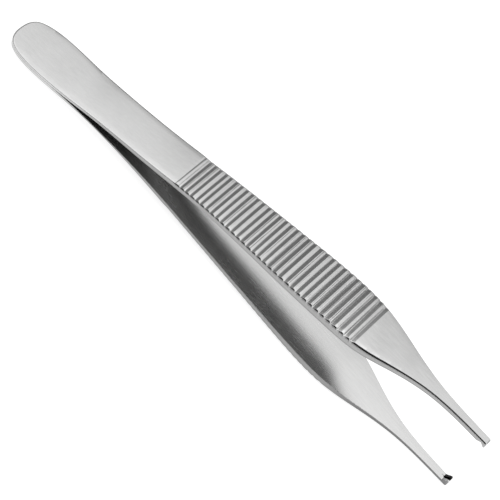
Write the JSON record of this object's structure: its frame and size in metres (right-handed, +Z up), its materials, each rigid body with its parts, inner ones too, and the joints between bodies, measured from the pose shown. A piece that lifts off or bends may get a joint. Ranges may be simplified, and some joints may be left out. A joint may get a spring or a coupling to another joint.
{
  "type": "thumb forceps",
  "caption": "Slender spring-armed thumb forceps with broad fluted grips and narrow tips, a single tooth on one tip meeting a pair of teeth on the other.",
  "frame": {"origin": "under the middle of the length and the width, on the surface that the pair lies on", "axes": "+X from the butt to the tips, +Y across the arms, +Z up from the lower arm to the upper one, which is the way they open"},
  "size_m": [0.1206, 0.0112, 0.0211],
  "materials": {
    "steel": "satin"
  },
  "bodies": {
    "root": {"single_tooth_arm": "steel", "twin_tooth_arm": "steel"}
  },
  "joints": []
}
